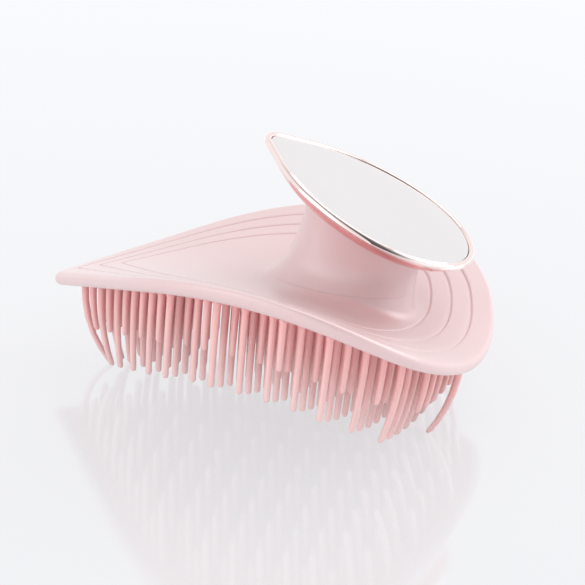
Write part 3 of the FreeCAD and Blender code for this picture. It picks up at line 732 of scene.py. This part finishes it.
soft_touch = finish("soft_touch_pink", (0.75, 0.54, 0.55), (0.735, 0.52, 0.53), (0.46, 0.54),
                    mottle_scale=28.0, grain_scale=2600.0, bump=0.10,
                    Sheen_Weight=0.2, Sheen_Roughness=0.4,
                    Coat_Weight=1.0, Coat_Roughness=0.35, Coat_IOR=2.0)
# The second, deeper rose tones on the tray's underside are a painted reflection of the shaded pink
# leaf below the head, not a second plating colour.
rose_plating_and_painted_reflection = finish("rose_plating_and_painted_reflection", (0.96, 0.82, 0.79), (0.94, 0.79, 0.76), (0.05, 0.08),
                      mottle_scale=60.0, grain_scale=900.0, bump=0.01,
                      second=("underside", (0.92, 0.40, 0.39), (0.89, 0.37, 0.36)),
                      Metallic=1.0)
silvering = finish("silvered_mirror", (0.86, 0.835, 0.84), (0.845, 0.82, 0.825), (0.03, 0.06),
                   mottle_scale=35.0, grain_scale=400.0, bump=0.0, Metallic=1.0)
# The deeper rose at the roots, turning to the paler tones as the reach grows, is painted shade from
# the leaf over the roots.
silicone_with_painted_root_shade = finish("bristle_silicone_painted_root_shade", (0.88, 0.42, 0.41), (0.86, 0.39, 0.38), (0.32, 0.40),
                  mottle_scale=90.0, grain_scale=1800.0, bump=0.06,
                  second=("reach", (0.86, 0.58, 0.565), (0.84, 0.55, 0.535)),
                  Coat_Weight=1.0, Coat_Roughness=0.3, Coat_IOR=1.9)
bed_rubber = finish("bed_rubber", (0.80, 0.42, 0.42), (0.76, 0.38, 0.38), (0.55, 0.65),
                    mottle_scale=60.0, grain_scale=2200.0, bump=0.15)
moulded_core = finish("moulded_core", (0.72, 0.72, 0.71), (0.66, 0.66, 0.65), (0.35, 0.45),
                      mottle_scale=40.0, grain_scale=1500.0, bump=0.05)
foam = finish("tape_foam", (0.07, 0.07, 0.075), (0.03, 0.03, 0.035), (0.8, 0.9),
              mottle_scale=300.0, grain_scale=1800.0, bump=0.6)
plain_steel = finish("plain_steel", (0.60, 0.60, 0.61), (0.50, 0.50, 0.51), (0.25, 0.38),
                     mottle_scale=200.0, grain_scale=1500.0, bump=0.1, Metallic=1.0)


# The brush

def dress(piece, slot, *nodes):
    """Hides the solids that the piece stands for; the slot is not used."""
    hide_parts(*nodes)
    return piece


vertices, faces = turned_shell(to_row(leaf_shell_rings()))
dress(mesh_piece("leaf_shell", vertices, faces, soft_touch, "handle", sharp=35),
      "soft_shell", "base_shell")
vertices, faces = looped_shell(to_row(neck_sleeve_rings()))
dress(mesh_piece("neck_grip", vertices, faces, soft_touch, "handle", sharp=35),
      "soft_shell", "neck_sleeve")
tray_rings = mirror_frame_rings()
vertices, faces = turned_shell(to_row(tray_rings))
tray = dress(mesh_piece("mirror_tray", vertices, faces, rose_plating_and_painted_reflection, "handle", sharp=40),
             "plated_frame", "mirror_frame")
# Mask for the painted reflection: the deeper rose on the tray's underside.
mark(tray, "underside", painted_reflection_share(tray_rings))
vertices, faces = turned_shell(to_row(mirror_rings()))
dress(mesh_piece("mirror_plate", vertices, faces, silvering, "handle", sharp=20),
      "mirror", "mirror")

roots, is_long, row_number = bristle_lattice()
for number in range(1, row_number.max() + 1):
    mine = row_number == number
    bristle_row(number, roots[mine], is_long[mine], silicone_with_painted_root_shade)

CARRIED = (("bristle_bed", bed_rubber), ("neck_core", moulded_core), ("mirror_tape", foam),
           ("head_screw_1", plain_steel), ("head_screw_2", plain_steel),
           ("base_screw_1", plain_steel), ("base_screw_2", plain_steel))
for node_name, material in CARRIED:
    mesh = frame["nodes"][node_name].data
    mesh.materials.clear()
    mesh.materials.append(material)


# Stage

def seen_directly(tree):
    """1 for rays that come from the camera, a reflection or a clear piece, 0 for soft light."""
    path = tree.nodes.new("ShaderNodeLightPath")
    first = node_at(tree, "ShaderNodeMath")
    second = node_at(tree, "ShaderNodeMath")
    second.use_clamp = True
    tree.links.new(path.outputs["Is Camera Ray"], first.inputs[0])
    tree.links.new(path.outputs["Is Glossy Ray"], first.inputs[1])
    tree.links.new(first.outputs[0], second.inputs[0])
    tree.links.new(path.outputs["Is Transmission Ray"], second.inputs[1])
    return second.outputs[0]


def floor_material():
    """White light table: its own even glow, a thin shadow and a polished face.

    Soft light bounces off it as off any white table.
    """
    material = bpy.data.materials.new("white_gloss_table")
    material.use_nodes = True
    tree = material.node_tree
    shader = tree.nodes["Principled BSDF"]
    shader.inputs["Roughness"].default_value = 0.09
    shader.inputs["IOR"].default_value = 1.7
    shader.inputs["Emission Strength"].default_value = 0.66
    place = tree.nodes.new("ShaderNodeTexCoord")
    cloud = node_at(tree, "ShaderNodeTexNoise", Scale=2.0, Detail=1.0)
    glow = tree.nodes.new("ShaderNodeValToRGB")
    glow.color_ramp.elements[0].color = (0.955, 0.965, 1.0, 1)
    glow.color_ramp.elements[1].color = (0.965, 0.975, 1.0, 1)
    tone = tree.nodes.new("ShaderNodeValToRGB")
    tone.color_ramp.elements[0].color = (0.135, 0.135, 0.137, 1)
    tone.color_ramp.elements[1].color = (0.145, 0.145, 0.147, 1)
    bounce = node_at(tree, "ShaderNodeBsdfDiffuse", Color=(0.90, 0.90, 0.91, 1))
    mix = tree.nodes.new("ShaderNodeMixShader")
    link = tree.links.new
    link(place.outputs["Object"], cloud.inputs["Vector"])
    link(cloud.outputs["Fac"], glow.inputs["Fac"])
    link(cloud.outputs["Fac"], tone.inputs["Fac"])
    link(glow.outputs["Color"], shader.inputs["Emission Color"])
    link(tone.outputs["Color"], shader.inputs["Base Color"])
    link(seen_directly(tree), mix.inputs["Fac"])
    link(bounce.outputs[0], mix.inputs[1])
    link(shader.outputs[0], mix.inputs[2])
    link(mix.outputs[0], tree.nodes["Material Output"].inputs["Surface"])
    return material


def make_floor():
    """One flat square, level with the lowest bristle tips."""
    corners = FLOOR_HALF * np.array(((-1, -1, 0), (1, -1, 0), (1, 1, 0), (-1, 1, 0)))
    floor = mesh_piece("table", corners, [[0, 1, 2, 3]], floor_material(), None)


def make_world():
    """Even studio light.  Seen directly it is white, dim overhead and dark on the camera's side."""
    world = bpy.data.worlds.new("studio")
    bpy.context.scene.world = world
    world.use_nodes = True
    tree = world.node_tree
    tree.nodes.clear()
    light = node_at(tree, "ShaderNodeBackground", Color=(1.0, 0.99, 0.985, 1), Strength=0.84)
    place = tree.nodes.new("ShaderNodeTexCoord")
    facing = tree.nodes.new("ShaderNodeVectorMath")
    facing.operation = "DOT_PRODUCT"
    facing.inputs[1].default_value = CAMERA_SIDE
    dimming = node_at(tree, "ShaderNodeMapRange", From_Min=0.5, From_Max=0.95,
                      To_Min=1.02, To_Max=0.12)
    dimming.interpolation_type = "SMOOTHSTEP"
    parts = tree.nodes.new("ShaderNodeSeparateXYZ")
    overhead = node_at(tree, "ShaderNodeMapRange", From_Min=0.6, From_Max=0.95,
                       To_Min=1.0, To_Max=0.45)
    level = tree.nodes.new("ShaderNodeMath")
    level.operation = "MULTIPLY"
    white = node_at(tree, "ShaderNodeBackground", Color=(0.975, 0.977, 0.985, 1))
    mix = tree.nodes.new("ShaderNodeMixShader")
    end = tree.nodes.new("ShaderNodeOutputWorld")
    link = tree.links.new
    link(place.outputs["Generated"], facing.inputs[0])
    link(facing.outputs["Value"], dimming.inputs["Value"])
    link(place.outputs["Generated"], parts.inputs[0])
    link(parts.outputs["Z"], overhead.inputs["Value"])
    link(dimming.outputs["Result"], level.inputs[0])
    link(overhead.outputs["Result"], level.inputs[1])
    link(level.outputs[0], white.inputs["Strength"])
    link(seen_directly(tree), mix.inputs["Fac"])
    link(light.outputs[0], mix.inputs[1])
    link(white.outputs[0], mix.inputs[2])
    link(mix.outputs[0], end.inputs["Surface"])


def area_lamp(name, place, target, width, power):
    """A round soft lamp that faces its target."""
    data = bpy.data.lights.new(name, "AREA")
    data.shape = "DISK"
    data.size = width
    data.energy = power
    lamp = bpy.data.objects.new(name, data)
    lamp.location = place
    lamp.rotation_euler = (Vector(target) - Vector(place)).to_track_quat("-Z", "Y").to_euler()
    bpy.context.scene.collection.objects.link(lamp)


def make_camera():
    """The photograph's camera, from its azimuth, elevation and roll about the brush."""
    azimuth, elevation, roll = (math.radians(v) for v in (19.31, 26.53, -2.77))
    focal, scale = 3035.5, 3.5
    across, above, aim_drop = 5.98, 27.02, 36.19
    ca, sa = math.cos(azimuth), math.sin(azimuth)
    ce, se = math.cos(elevation), math.sin(elevation)
    right = np.array((ca, sa, 0.0))
    ahead = np.array((-sa * ce, ca * ce, -se))
    up = np.array((-sa * se, ca * se, ce))
    aim = REST_SHIFT - (0.0, 0.0, aim_drop)
    place = (across * right + above * up - focal / scale * ahead + aim) * MM
    cr, sr = math.cos(roll), math.sin(roll)
    side, top = cr * right - sr * up, sr * right + cr * up
    data = bpy.data.cameras.new("camera")
    data.sensor_width = 36.0
    data.lens = focal / IMAGE_WIDTH * data.sensor_width
    data.clip_start = 0.01
    camera = bpy.data.objects.new("camera", data)
    camera.matrix_world = Matrix((
        (side[0], top[0], -ahead[0], place[0]),
        (side[1], top[1], -ahead[1], place[1]),
        (side[2], top[2], -ahead[2], place[2]),
        (0, 0, 0, 1)))
    bpy.context.scene.collection.objects.link(camera)
    bpy.context.scene.camera = camera


make_floor()
make_world()
area_lamp("back_softbox", (0.1, 0.55, 1.0), BRUSH_MIDDLE, width=0.8, power=2.0)
area_lamp("front_softbox", (-0.5, -0.95, 0.30), BRUSH_MIDDLE, width=1.8, power=6.0)
area_lamp("right_softbox", (0.85, 0.55, 0.6), ROUND_END, width=0.9, power=4.2)
make_camera()
bpy.context.scene.view_settings.view_transform = "Standard"
